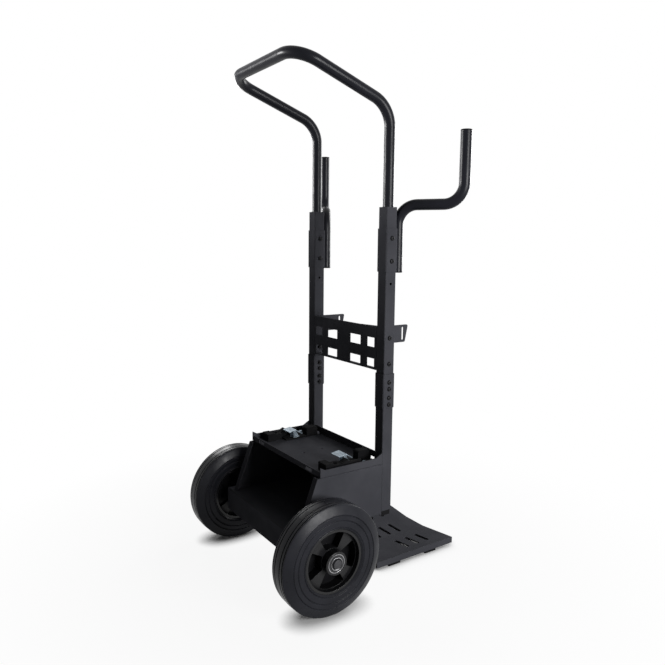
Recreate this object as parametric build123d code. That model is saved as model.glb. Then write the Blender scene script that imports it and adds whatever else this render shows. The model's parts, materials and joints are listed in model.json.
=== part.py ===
from build123d import *
import os
from math import atan2, cos, hypot, radians, sin

# Welding trolley: a sheet-metal box on two wheels with a deck for the power source,
# two square posts with a bent tube handle and cable hooks, and a toe plate for a gas cylinder.
# Millimetres. The origin is on the floor, under the middle of the outline.
# +Z is up, +Y runs from the handle to the toe plate, +X is the right side seen from behind.
# Distances called "from the axle" are measured along Y.

# Running and slip clearances
SLIP = 0.1
FIT = 0.03
RUNNING_GAP = 0.3
HOLE_PLAY = 0.2

# How near an edge or corner lies to the place it is picked by
PICK = 0.1

# Wheels
WHEEL_D = 250.0
TYRE_W = 60.0
WHEEL_TRACK = 451.0
TREAD_W = 43.0
TREAD_EDGE_DROP = 0.8
SHOULDER_DROP = 21.0
SHOULDER_BULGE = 2.2
SIDEWALL_RINGS_D = (153.0, 182.0)
SIDEWALL_GROOVE = 1.8
GROOVE_W = 3.0
GROOVE_DEPTH = 3.0
GROOVE_OFFSETS = (9.0, 18.0)
RIM_D = 142.0
RIM_SEAT_D = 136.0
RIM_W = 52.0
RIM_LIP_T = 3.0
RIM_WALL = 4.0
HUB_D = 52.0
HUB_L = 72.0
HUB_CHAMFER = 1.5
SPOKE_COUNT = 4
SPOKE_W_AT_HUB = 13.0
SPOKE_W_AT_RIM = 33.0
SPOKE_T = 32.0
WHEEL_WEB_T = 4.0
WHEEL_WEB_INSET = 8.0
POCKET_MARGIN = 1.5
POCKET_CORNER_R = 3.0
POCKET_OVERRUN = 0.3

# Ball bearings, 20 x 42 x 12
BEARING_BORE_D = 20.0
BEARING_D = 42.0
BEARING_W = 12.0
BEARING_RECESS = 1.0
BEARING_INNER_RING_D = 26.5
BEARING_OUTER_RING_BORE_D = 35.5
BEARING_SEAL_D = 38.5
BEARING_SEAL_T = 1.5

# Axle and what holds the wheels on it
AXLE_SPACER_L = 3.5
SPACER_WALL = 3.0
WASHER_T = 1.5
WASHER_D = 28.0
CIRCLIP_T = 1.2
CIRCLIP_D = 25.5
CIRCLIP_GROOVE = 0.6
CIRCLIP_GAP_ANGLE = 50.0
AXLE_END_L = 2.5
AXLE_CHAMFER = 1.0

# Sheet metal of the chassis
SHEET = 3.0
BEND_R = 2.0
CHASSIS_BOTTOM = 147.0
BEAM_DEPTH = 86.0
BEAM_DROP = 58.0
BEAM_LIP = 10.0
SIDE_REAR_AT_TOP = 12.0
SIDE_REAR_AT_BEAM = -34.0
SIDE_FLANGE = 16.0
SIDE_BEND_R = 10.0

# Deck tray
DECK_UNDERSIDE = 277.0
DECK_REAR = 20.0
DECK_RAIL_H = 17.0
DECK_REAR_LIP_H = 13.5
DECK_HORN_H = 7.0
DECK_HORN_L = 13.0
DECK_FRONT_TONGUE = 7.0
DECK_FRONT_LIP_H = 21.5
DECK_RELIEF_W = 17.0
DECK_RELIEF_H = 7.0
DECK_RELIEF_FROM_POST = 5.0
GUSSET_H = 10.0
GUSSET_L = 18.0
LIP_HOLE_W = 27.0
LIP_HOLE_H = 8.0
LIP_HOLE_FROM_POST = 35.5
DECK_HOLE_D = 7.0
DECK_HOLE_PITCH = 53.0
DECK_HOLE_FIRST = 78.0

# Lock rails on the deck
LOCK_RAIL_W = 46.0
LOCK_RAIL_SIDE_GAP = 10.0
LOCK_RAIL_REAR = 43.0
LOCK_RAIL_FRONT_GAP = 8.0
LOCK_RAIL_FLANGE_T = 4.0
LOCK_RAIL_WALL = 3.0
LOCK_RAIL_BODY_W = 26.0
LOCK_RAIL_BODY_L = 45.0
LOCK_RAIL_BODY_H = 15.0
LOCK_RAIL_STOP_W = 32.0
LOCK_RAIL_STOP_L = 19.0
LOCK_RAIL_STOP_H = 20.0
LOCK_RAIL_CHEEK_W = 16.0
LOCK_RAIL_CHEEK_L = 32.0
LOCK_RAIL_PEAK_H = 23.0
LOCK_RAIL_LEDGE_W = 5.0
LOCK_RAIL_LEDGE_L = 54.0
LOCK_RAIL_LEDGE_H = 16.5
LOCK_RAIL_BLOCK_W = 20.0
LOCK_RAIL_BLOCK_L = 34.0
LOCK_RAIL_BLOCK_H = 25.0
LOCK_RAIL_BLOCK_R = 5.0
RAIL_SCREW_D = 5.0
RAIL_SCREW_HEAD_D = 10.0
RAIL_SCREW_HEAD_H = 3.0
RAIL_SCREW_FROM_SIDE = 7.0
RAIL_SCREW_FROM_FRONT = 30.0
RAIL_SCREW_FROM_REAR = 33.0
RAIL_BOSS_D = 14.0

# Deck latches
LATCH_CHEEK_GAP = 4.0
LATCH_PIVOT = 115.0
LATCH_PIVOT_H = 20.0
LATCH_PIN_D = 5.0
LATCH_PIN_HEAD_D = 8.0
LATCH_PIN_HEAD_T = 1.5
LATCH_BARREL_D = 9.0
LATCH_SPRING_W = 2.6
LATCH_PLATE_T = 2.5
LATCH_PLATE_W = 34.0
LATCH_PLATE_L = 20.0
LATCH_PLATE_TILT = 8.0
LATCH_TONGUE_W = 12.0
LATCH_TONGUE_L = 28.0
LATCH_TONGUE_TILT = 32.0
LATCH_BASE_W = 18.0
LATCH_BASE_T = 2.0
LATCH_EAR_R = 4.0
LATCH_FOOT_L = 14.0

# Posts
POST_W = 30.0
POST_WALL = 2.0
POST_CORNER_R = 2.5
POST_SPACING = 300.0
POST_FROM_AXLE = 209.0
POST_SPLIT = 447.0
POST_TOP = 877.0
PLUG_T = 12.0
PLUG_STEP = 1.5
PLUG_SPIGOT_L = 12.0
COLLAR_WALL = 2.0
SLEEVE_BELOW = 35.0
SLEEVE_ABOVE = 46.0
SLEEVE_BOLT_OFFSETS = (10.5, 26.5)

# Handle and cable hooks
TUBE_D = 25.0
TUBE_WALL = 2.0
HANDLE_BEND_Z = 1097.0
HANDLE_REACH = 243.0
HANDLE_RISE = 84.0
HANDLE_LEG_BEND_R = 65.0
HANDLE_CORNER_R = 55.0
HANDLE_INSERT = 134.0
HOOK_COLLAR_BOTTOM = 731.0
HOOK_COLLAR_L = 98.0
HOOK_BOLT_TOP = 807.0
HOOK_BOLT_PITCH = 51.75
HOOK_RUN_Z = 883.0
HOOK_TOP = 1039.0
HOOK_OUT = 128.0
HOOK_FORWARD = 80.0
HOOK_BEND_R = 45.0
HOOK_CAP_T = 2.5
HOOK_CAP_SPIGOT_L = 12.0

# Cylinder bracket
BRACKET_ABOVE_SLEEVE = 6.0
BRACKET_H = 103.0
BRACKET_EAR_REACH = 81.0
BRACKET_EAR_SLANT = 9.0
BRACKET_EAR_H = 42.0
BRACKET_LIP = 12.0
BRACKET_GUSSET_L = 80.0
BRACKET_GUSSET_W = 20.0
BRACKET_BOLTS_UP = (18.0, 79.0)
WINDOW_H = 23.0
WINDOW_BAND = 27.0
WINDOW_W = 45.0
WINDOW_X = 50.0
SIDE_WINDOW_W = 30.0
SIDE_WINDOW_FROM_POST = 23.0
STRAP_SLOT_W = 6.5
STRAP_SLOT_L = 32.0
STRAP_SLOT_FROM_TIP = 16.0

# Toe plate
TOE_REACH = 451.0
TOE_W = 300.0
TOE_CENTRE_W = 70.0
TOE_CENTRE_Z = 7.5
TOE_WING_RISE = 13.0
TOE_FLANGE_H = 15.5
TOE_UPSTAND_H = 35.0
TOE_SLOT_L = 56.0
TOE_SLOT_W = 10.0
TOE_SLOT_PITCH = 34.5
TOE_SLOT_ROWS = 3
TOE_CENTRE_SLOT_FIRST = 305.0
TOE_WING_SLOT_FIRST = 321.0
TOE_WING_SLOT_X = 95.0
TOE_FOOT_L = 36.0
TOE_FOOT_W = 11.0
TOE_FOOT_FROM_AXLE = (254.0, 374.0)

# M6 fasteners
BOLT_D = 6.0
BOLT_HEAD_D = 11.0
BOLT_HEAD_H = 3.5
NUT_AF = 10.0
NUT_H = 5.0
BOLT_TAIL = 1.5

# Places worked out from the sizes above
AXLE_Y = (WHEEL_D / 2 - TOE_REACH) / 2
AXLE_Z = WHEEL_D / 2
WHEEL_X = WHEEL_TRACK / 2
POST_X = POST_SPACING / 2
POST_Y = AXLE_Y + POST_FROM_AXLE
POST_INNER = POST_X - POST_W / 2
POST_OUTER = POST_X + POST_W / 2
POST_REAR = POST_Y - POST_W / 2
POST_FRONT = POST_Y + POST_W / 2
POST_BOTTOM = CHASSIS_BOTTOM + PLUG_T
COLLAR_W = POST_W + 2 * (SLIP + COLLAR_WALL)
BRACKET_BOTTOM = POST_SPLIT + SLEEVE_ABOVE + BRACKET_ABOVE_SLEEVE
BRACKET_BOLT_Z = [BRACKET_BOTTOM + up for up in BRACKET_BOLTS_UP]
BEARING_FACE = HUB_L / 2 - BEARING_RECESS
BEAM_END = WHEEL_X - BEARING_FACE - AXLE_SPACER_L
BEAM_TOP = CHASSIS_BOTTOM + 2 * SHEET
BEAM_FRONT = AXLE_Y + BEAM_DEPTH / 2
BEAM_REAR = AXLE_Y - BEAM_DEPTH / 2
DECK_TOP = DECK_UNDERSIDE + SHEET
DECK_RAIL_TOP = DECK_UNDERSIDE + DECK_RAIL_H
PANEL_FRONT = POST_REAR + SHEET
TOE_FRONT = AXLE_Y + TOE_REACH
LIP_HOLE_X = POST_X - LIP_HOLE_FROM_POST
SIDE_WINDOW_X = POST_INNER - SIDE_WINDOW_FROM_POST
LOCK_RAIL_OUTER = POST_OUTER - SHEET - LOCK_RAIL_SIDE_GAP
LOCK_RAIL_INNER = LOCK_RAIL_OUTER - LOCK_RAIL_W
LOCK_RAIL_REAR_END = AXLE_Y + LOCK_RAIL_REAR
LOCK_RAIL_FRONT = POST_REAR - LOCK_RAIL_FRONT_GAP
LOCK_RAIL_SEAT = DECK_TOP + LOCK_RAIL_FLANGE_T
LATCH_X = LOCK_RAIL_OUTER - LOCK_RAIL_CHEEK_W - LATCH_CHEEK_GAP - LATCH_PLATE_W / 2
LATCH_Y = AXLE_Y + LATCH_PIVOT
LATCH_Z = DECK_TOP + LATCH_PIVOT_H
HOOK_X = POST_X
HOOK_Y = POST_Y + COLLAR_W / 2 + TUBE_D / 2 + FIT


def block(x_span, y_span, z_span):
    """A box between two values on each axis."""
    size = [high - low for low, high in (x_span, y_span, z_span)]
    middle = [(high + low) / 2 for low, high in (x_span, y_span, z_span)]
    return Pos(*middle) * Box(*size)


def plate_across_x(points, x_span, corner_r=0.0, round_corners=()):
    """A plate with an outline of (y, z) points, with some corners rounded, between two X values."""
    outline = Plane.YZ.offset(x_span[0]) * make_face(Polyline(*points, close=True))
    if corner_r:
        picked = [v for v in outline.vertices() if any(on_corner(v, points[i]) for i in round_corners)]
        outline = fillet(picked, corner_r)
    return extrude(outline, x_span[1] - x_span[0], dir=(1, 0, 0))


def on_corner(vertex, point):
    """Whether a corner of a plate lies at an outline's (y, z) point."""
    return hypot(vertex.Y - point[0], vertex.Z - point[1]) < PICK


def rod_along_x(x_span, y, z, diameter):
    """A round rod along X between two values, also used to cut holes."""
    length = x_span[1] - x_span[0]
    return Pos((x_span[0] + x_span[1]) / 2, y, z) * Rot(0, 90, 0) * Cylinder(diameter / 2, length)


def upright_rod(place, z_span, diameter):
    """A round rod along Z at an (x, y) place between two heights, also used to cut holes."""
    height = z_span[1] - z_span[0]
    return Pos(*place, (z_span[0] + z_span[1]) / 2) * Cylinder(diameter / 2, height)


def ring_on_axle(x_span, inner_r, outer_r):
    """A plain ring round the axle between two X values."""
    outer = rod_along_x(x_span, AXLE_Y, AXLE_Z, 2 * outer_r)
    return outer - rod_along_x(x_span, AXLE_Y, AXLE_Z, 2 * inner_r)


def turned_on_axle(points, x_middle):
    """A solid turned round the axle from (x, radius) points, x counted from x_middle."""
    profile = Plane.XZ * make_face(Polyline(*points, close=True))
    return Pos(x_middle, AXLE_Y, AXLE_Z) * revolve(profile, Axis.X)


def square_tube(x, y, z_span, width, wall, corner_r):
    """An upright square tube with rounded corners."""
    outer = RectangleRounded(width, width, corner_r)
    inner = RectangleRounded(width - 2 * wall, width - 2 * wall, max(corner_r - wall, SLIP))
    return Pos(x, y, z_span[0]) * extrude(outer - inner, z_span[1] - z_span[0])


def round_tube(points, radii):
    """A round tube along straight runs joined by tangent bends."""
    path = FilletPolyline(*points, radius=radii)
    end = Plane(path @ 0, z_dir=path % 0)
    outer = sweep(end * Circle(TUBE_D / 2), path=path)
    inner = sweep(end * Circle(TUBE_D / 2 - TUBE_WALL), path=path)
    return outer - inner


def bolt(head_x, tail_x, y, z):
    """A button-head bolt along X, its head seated at head_x and its shank ending at tail_x."""
    way = 1 if head_x > tail_x else -1
    top_r = BOLT_HEAD_D / 2 - BOLT_HEAD_H / 2
    rim_r = BOLT_HEAD_D / 2
    points = [(0, 0), (0, rim_r), (BOLT_HEAD_H / 2, rim_r), (BOLT_HEAD_H, top_r), (BOLT_HEAD_H, 0)]
    head = revolve(Plane.XZ * make_face(Polyline(*points, close=True)), Axis.X)
    if way < 0:
        head = mirror(head, about=Plane.YZ)
    return Pos(head_x, y, z) * head + rod_along_x(sorted((head_x, tail_x)), y, z, BOLT_D)


def nut(seat_x, way, y, z):
    """A hexagon nut along X, seated at seat_x and standing out in the direction way."""
    profile = RegularPolygon(NUT_AF / 2, 6, major_radius=False) - Circle(BOLT_D / 2 + FIT)
    return Pos(seat_x, y, z) * Rot(0, 90 * way, 0) * extrude(profile, NUT_H)


def both_sides(solid):
    """The solid and its mirror image across the middle of the trolley."""
    return solid, mirror(solid, about=Plane.YZ)


def through_bolts(heights, head_x, nut_x):
    """Bolts and nuts through both posts at the given heights, heads outside."""
    bolts = []
    nuts = []
    for z in heights:
        bolts += both_sides(bolt(head_x, nut_x - NUT_H - BOLT_TAIL, POST_Y, z))
        nuts += both_sides(nut(nut_x, -1, POST_Y, z))
    return Compound(bolts), Compound(nuts)


def bolt_holes(heights, x_span):
    """Cross holes along X through a post at the given heights."""
    return [rod_along_x(x_span, POST_Y, z, BOLT_D + 2 * HOLE_PLAY) for z in heights]


POST_SPAN = (POST_X - COLLAR_W, POST_X + COLLAR_W)
SLEEVE_BOLTS_LOWER = [POST_SPLIT - offset for offset in SLEEVE_BOLT_OFFSETS]
SLEEVE_BOLTS_UPPER = [POST_SPLIT + offset for offset in SLEEVE_BOLT_OFFSETS]
SLEEVE_BOLTS = SLEEVE_BOLTS_LOWER + SLEEVE_BOLTS_UPPER
HOOK_BOLTS = [HOOK_BOLT_TOP, HOOK_BOLT_TOP - HOOK_BOLT_PITCH]
SPARE_HOLE = HOOK_BOLT_TOP - 2 * HOOK_BOLT_PITCH


# Wheels and axle

def tyre(x_middle):
    """A solid tyre: beads on the rim, grooved sidewalls, rounded shoulders and a grooved tread."""
    half = TYRE_W / 2
    radius = WHEEL_D / 2
    shoulder = (half, radius - SHOULDER_DROP)
    tread_edge = (TREAD_W / 2, radius - TREAD_EDGE_DROP)
    swell = SHOULDER_BULGE / hypot(shoulder[0] - tread_edge[0], shoulder[1] - tread_edge[1])
    crown = (
        (shoulder[0] + tread_edge[0]) / 2 + swell * (tread_edge[1] - shoulder[1]),
        (shoulder[1] + tread_edge[1]) / 2 + swell * (shoulder[0] - tread_edge[0]),
    )
    bead = RIM_W / 2 - RIM_LIP_T
    groove = SIDEWALL_GROOVE
    side = [
        (bead, RIM_SEAT_D / 2),
        (bead, RIM_D / 2 + FIT),
        (RIM_W / 2, RIM_D / 2 + FIT),
    ]
    for ring_r in [ring_d / 2 for ring_d in SIDEWALL_RINGS_D] + [shoulder[1] - groove]:
        side += [(half, ring_r - groove), (half - groove, ring_r), (half, ring_r + groove)]
    flipped = [[(-x, r) for x, r in points] for points in (side, (shoulder, crown, tread_edge))]
    outline = Curve() + [
        Polyline(*side),
        ThreePointArc(shoulder, crown, tread_edge),
        Polyline(tread_edge, (0, radius), flipped[1][2]),
        ThreePointArc(*reversed(flipped[1])),
        Polyline(*reversed(flipped[0])),
        Line(flipped[0][0], side[0]),
    ]
    solid = Pos(x_middle, AXLE_Y, AXLE_Z) * revolve(Plane.XZ * make_face(outline), Axis.X)
    for offset in GROOVE_OFFSETS:
        for x in (x_middle - offset, x_middle + offset):
            groove_span = (x - GROOVE_W / 2, x + GROOVE_W / 2)
            solid -= ring_on_axle(groove_span, radius - GROOVE_DEPTH, radius + GROOVE_W)
    return solid


def rim(x_middle):
    """A moulded rim: barrel with two lips, hub, web set inwards and broad spokes between pockets."""
    half = RIM_W / 2
    bead = half - RIM_LIP_T
    seat_r = RIM_SEAT_D / 2 - FIT
    barrel_r = RIM_SEAT_D / 2 - RIM_WALL
    hub_r = HUB_D / 2
    side = [
        (half, barrel_r + RIM_LIP_T / 2),
        (half, RIM_D / 2),
        (bead, RIM_D / 2),
        (bead, seat_r),
    ]
    barrel_points = side + [(-x, r) for x, r in reversed(side)]
    barrel_points += [(-SPOKE_T / 2, barrel_r), (SPOKE_T / 2, barrel_r)]
    solid = turned_on_axle(barrel_points, x_middle)
    hub_end = HUB_L / 2
    hub_side = [
        (hub_end - HUB_CHAMFER, hub_r),
        (hub_end, hub_r - HUB_CHAMFER),
        (hub_end, 0),
    ]
    solid += turned_on_axle(hub_side + [(-x, r) for x, r in reversed(hub_side)], x_middle)
    disc_span = (x_middle - SPOKE_T / 2, x_middle + SPOKE_T / 2)
    solid += ring_on_axle(disc_span, hub_r - HUB_CHAMFER, barrel_r + RIM_WALL / 2)
    pocket = wheel_pocket(hub_r, barrel_r)
    web_outer = WHEEL_WEB_T / 2 - WHEEL_WEB_INSET
    for index in range(SPOKE_COUNT):
        turned = Rot(index * 360 / SPOKE_COUNT, 0, 0) * pocket
        for low, high in ((web_outer, SPOKE_T / 2), (-SPOKE_T / 2, web_outer - WHEEL_WEB_T)):
            cut = extrude(Pos(low, 0, 0) * turned, high - low, dir=(1, 0, 0))
            solid -= Pos(x_middle, AXLE_Y, AXLE_Z) * cut
    bearing_span = BEARING_W + BEARING_RECESS
    for end in (x_middle - hub_end + bearing_span / 2, x_middle + hub_end - bearing_span / 2):
        span = (end - bearing_span / 2, end + bearing_span / 2)
        solid -= rod_along_x(span, AXLE_Y, AXLE_Z, BEARING_D + 2 * FIT)
    bore_span = (x_middle - hub_end, x_middle + hub_end)
    return solid - rod_along_x(bore_span, AXLE_Y, AXLE_Z, BEARING_OUTER_RING_BORE_D)


def wheel_pocket(hub_r, barrel_r):
    """The outline of one pocket between two flared spokes, round the X axis, opening towards +Y."""
    inner_r = hub_r + POCKET_MARGIN
    outer_r = barrel_r - POCKET_MARGIN
    turn = radians(180 / SPOKE_COUNT)
    side = []
    for share in (-POCKET_OVERRUN, 1 + POCKET_OVERRUN):
        radius = inner_r + share * (outer_r - inner_r)
        across = (SPOKE_W_AT_HUB + share * (SPOKE_W_AT_RIM - SPOKE_W_AT_HUB)) / 2
        side.append((radius * cos(turn) + across * sin(turn), radius * sin(turn) - across * cos(turn)))
    wedge = Polygon(*side, *[(y, -z) for y, z in reversed(side)], align=None)
    outline = (Circle(outer_r) - Circle(inner_r)) & wedge
    return Plane.YZ * fillet(outline.vertices(), POCKET_CORNER_R)


def bearing_spans(x_middle):
    """The X spans of the two bearings in a hub."""
    inner = x_middle - BEARING_FACE
    outer = x_middle + BEARING_FACE
    return (inner, inner + BEARING_W), (outer - BEARING_W, outer)


def bearing_outer_rings(x_middle):
    """Two outer rings, each with a recess in both faces for its seals."""
    rings = []
    for low, high in bearing_spans(x_middle):
        ring = ring_on_axle((low, high), BEARING_OUTER_RING_BORE_D / 2, BEARING_D / 2)
        for span in seal_spans(low, high):
            ring -= rod_along_x(span, AXLE_Y, AXLE_Z, BEARING_SEAL_D)
        rings.append(ring)
    return Compound(rings)


def seal_spans(low, high):
    """The X spans of the two seals of a bearing."""
    return (low, low + BEARING_SEAL_T), (high - BEARING_SEAL_T, high)


def bearing_seals(x_middle):
    """Seals in the outer rings, which leave a running gap to the inner rings."""
    inner_r = BEARING_INNER_RING_D / 2 + RUNNING_GAP
    outer_r = BEARING_SEAL_D / 2 - FIT
    seals = []
    for low, high in bearing_spans(x_middle):
        seals += [ring_on_axle(span, inner_r, outer_r) for span in seal_spans(low, high)]
    return Compound(seals)


def bearing_inner_rings(x_middle):
    bore_r = BEARING_BORE_D / 2 + FIT
    outer_r = BEARING_INNER_RING_D / 2
    return Compound([ring_on_axle(span, bore_r, outer_r) for span in bearing_spans(x_middle)])


def bearing_spacer(x_middle):
    inner, outer = bearing_spans(x_middle)
    return ring_on_axle((inner[1], outer[0]), BEARING_BORE_D / 2 + SLIP, BEARING_BORE_D / 2 + SPACER_WALL)


def axle():
    circlip_x = WHEEL_X + BEARING_FACE + WASHER_T
    end = circlip_x + CIRCLIP_T + AXLE_END_L
    solid = rod_along_x((-end, end), AXLE_Y, AXLE_Z, BEARING_BORE_D)
    solid = chamfer(solid.edges().filter_by(GeomType.CIRCLE), AXLE_CHAMFER)
    groove_span = (circlip_x, circlip_x + CIRCLIP_T)
    groove = ring_on_axle(groove_span, BEARING_BORE_D / 2 - CIRCLIP_GROOVE, BEARING_D / 2)
    for cut in both_sides(groove):
        solid -= cut
    return solid


def circlip():
    start = WHEEL_X + BEARING_FACE + WASHER_T
    span = (start, start + CIRCLIP_T)
    solid = ring_on_axle(span, BEARING_BORE_D / 2 - CIRCLIP_GROOVE + FIT, CIRCLIP_D / 2)
    half = radians(CIRCLIP_GAP_ANGLE / 2)
    points = [(AXLE_Y, AXLE_Z)]
    for side in (-1, 1):
        points.append((AXLE_Y + CIRCLIP_D * sin(side * half), AXLE_Z - CIRCLIP_D * cos(half)))
    return solid - plate_across_x(points, span)


def axle_washer():
    start = WHEEL_X + BEARING_FACE
    return ring_on_axle((start, start + WASHER_T), BEARING_BORE_D / 2 + SLIP, WASHER_D / 2)


def axle_spacer():
    span = (BEAM_END, BEAM_END + AXLE_SPACER_L)
    return ring_on_axle(span, BEARING_BORE_D / 2 + SLIP, BEARING_BORE_D / 2 + SPACER_WALL)


# Chassis

def axle_beam():
    """A folded channel, open below, that covers the axle."""
    bottom = BEAM_TOP - BEAM_DROP
    outline = [
        (BEAM_REAR, bottom),
        (BEAM_REAR, BEAM_TOP),
        (BEAM_FRONT, BEAM_TOP),
        (BEAM_FRONT, bottom),
        (BEAM_FRONT - SHEET, bottom),
        (BEAM_FRONT - SHEET, BEAM_TOP - SHEET),
        (BEAM_REAR + SHEET, BEAM_TOP - SHEET),
        (BEAM_REAR + SHEET, bottom + SHEET),
        (BEAM_REAR + SHEET + BEAM_LIP, bottom + SHEET),
        (BEAM_REAR + SHEET + BEAM_LIP, bottom),
    ]
    return plate_across_x(outline, (-BEAM_END, BEAM_END), BEND_R, (0, 1, 2))


def axle_bracket():
    """A plate across the end of the beam that holds the axle."""
    y_span = (BEAM_REAR + SHEET, BEAM_FRONT - SHEET)
    z_span = (BEAM_TOP - BEAM_DROP + SHEET, BEAM_TOP - SHEET)
    plate = block((BEAM_END - SHEET, BEAM_END), y_span, z_span)
    return plate - rod_along_x((BEAM_END - SHEET, BEAM_END), AXLE_Y, AXLE_Z, BEARING_BORE_D + 2 * FIT)


def floor_pan():
    half = POST_OUTER - SIDE_BEND_R
    return block((-half, half), (BEAM_FRONT, POST_REAR), (CHASSIS_BOTTOM, CHASSIS_BOTTOM + SHEET))


def side_plate():
    """The right side plate: slanted rear edge, notch over the beam, bend to the floor pan, folded flanges."""
    rear_top = AXLE_Y + SIDE_REAR_AT_TOP
    rear_beam = AXLE_Y + SIDE_REAR_AT_BEAM
    bend_z = CHASSIS_BOTTOM + SIDE_BEND_R
    outline = [
        (rear_beam, BEAM_TOP),
        (rear_top, DECK_UNDERSIDE),
        (POST_REAR, DECK_UNDERSIDE),
        (POST_REAR, bend_z),
        (BEAM_FRONT, bend_z),
        (BEAM_FRONT, BEAM_TOP),
    ]
    x_span = (POST_OUTER - SHEET, POST_OUTER)
    flange_span = (POST_OUTER - SIDE_FLANGE, POST_OUTER - SHEET)
    solid = plate_across_x(outline, x_span)
    top_edge = [e for e in solid.edges().filter_by(Axis.Y) if e.center().Z > DECK_UNDERSIDE - PICK]
    solid = fillet([e for e in top_edge if e.center().X > POST_OUTER - PICK], BEND_R)
    bend_x = POST_OUTER - SIDE_BEND_R
    bend_length = POST_REAR - BEAM_FRONT
    roll = Cylinder(SIDE_BEND_R, bend_length) - Cylinder(SIDE_BEND_R - SHEET, bend_length)
    roll = Pos(bend_x, (BEAM_FRONT + POST_REAR) / 2, bend_z) * Rot(90, 0, 0) * roll
    solid += roll & block((bend_x, POST_OUTER), (BEAM_FRONT, POST_REAR), (CHASSIS_BOTTOM, bend_z))
    solid += block(flange_span, (rear_top + SIDE_FLANGE, POST_REAR), (DECK_UNDERSIDE - SHEET, DECK_UNDERSIDE))
    lean = atan2(rear_top - rear_beam, DECK_UNDERSIDE - BEAM_TOP)
    depth = SHEET / cos(lean)
    rear_flange = [
        (rear_beam, BEAM_TOP),
        (rear_top, DECK_UNDERSIDE),
        (rear_top + depth, DECK_UNDERSIDE),
        (rear_beam + depth, BEAM_TOP),
    ]
    return solid + plate_across_x(rear_flange, flange_span)


def front_panel():
    bottom = TOE_CENTRE_Z - SHEET
    return block((-POST_INNER, POST_INNER), (POST_REAR, PANEL_FRONT), (bottom, DECK_UNDERSIDE))


def deck_tray():
    """The folded tray that carries the power source."""
    rear = AXLE_Y + DECK_REAR
    half = POST_OUTER
    base = block((-half, half), (rear, POST_REAR), (DECK_UNDERSIDE, DECK_RAIL_TOP))
    low_edges = [e for e in base.edges() if e.center().Z < DECK_UNDERSIDE + PICK]
    base = fillet([e for e in low_edges if e.center().Y < POST_REAR - PICK], BEND_R)
    between_rails = (-half + SHEET, half - SHEET)
    base -= block(between_rails, (rear + SHEET, POST_REAR), (DECK_TOP, DECK_RAIL_TOP))
    base -= block(between_rails, (rear, rear + SHEET), (DECK_UNDERSIDE + DECK_REAR_LIP_H, DECK_RAIL_TOP))
    tongue_front = POST_REAR + DECK_FRONT_TONGUE
    between_posts = (-POST_INNER, POST_INNER)
    base += block(between_posts, (POST_REAR, tongue_front), (DECK_UNDERSIDE, DECK_TOP))
    lip_top = DECK_UNDERSIDE + DECK_FRONT_LIP_H
    base += block(between_posts, (tongue_front - SHEET, tongue_front), (DECK_UNDERSIDE, lip_top))
    relief_end = POST_INNER - DECK_RELIEF_FROM_POST
    relief = block(
        (relief_end - DECK_RELIEF_W, relief_end),
        (POST_REAR - SHEET, tongue_front),
        (DECK_UNDERSIDE, DECK_UNDERSIDE + DECK_RELIEF_H),
    )
    for cut in both_sides(relief):
        base -= cut
    gusset = [
        (POST_REAR - GUSSET_L, DECK_RAIL_TOP),
        (POST_REAR, DECK_RAIL_TOP + GUSSET_H),
        (POST_REAR, DECK_RAIL_TOP),
    ]
    horn = [
        (rear, DECK_RAIL_TOP),
        (rear, DECK_RAIL_TOP + DECK_HORN_H),
        (rear + DECK_HORN_L, DECK_RAIL_TOP),
    ]
    for corner in (gusset, horn):
        for solid in both_sides(plate_across_x(corner, (half - SHEET, half))):
            base += solid
    lip_span = (LIP_HOLE_X - LIP_HOLE_W / 2, LIP_HOLE_X + LIP_HOLE_W / 2)
    lip_hole = block(lip_span, (rear, rear + SHEET), (DECK_TOP, DECK_TOP + LIP_HOLE_H))
    for solid in both_sides(lip_hole):
        base -= solid
    for index in range(2):
        y = AXLE_Y + DECK_HOLE_FIRST + index * DECK_HOLE_PITCH
        base -= upright_rod((0, y), (DECK_UNDERSIDE, DECK_TOP), DECK_HOLE_D)
    for place in rail_screw_places():
        hole = upright_rod(place, (DECK_UNDERSIDE, DECK_TOP), RAIL_SCREW_D + 2 * HOLE_PLAY)
        for cut in both_sides(hole):
            base -= cut
    return base


# Lock rails and latches on the deck

def rail_screw_places():
    """One screw on the flange beside the front block, one in a well of the rear body."""
    front = (LOCK_RAIL_OUTER - RAIL_SCREW_FROM_SIDE, LOCK_RAIL_FRONT - RAIL_SCREW_FROM_FRONT)
    rear = (LOCK_RAIL_OUTER - LOCK_RAIL_BODY_W / 2, LOCK_RAIL_REAR_END + RAIL_SCREW_FROM_REAR)
    return front, rear


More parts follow.
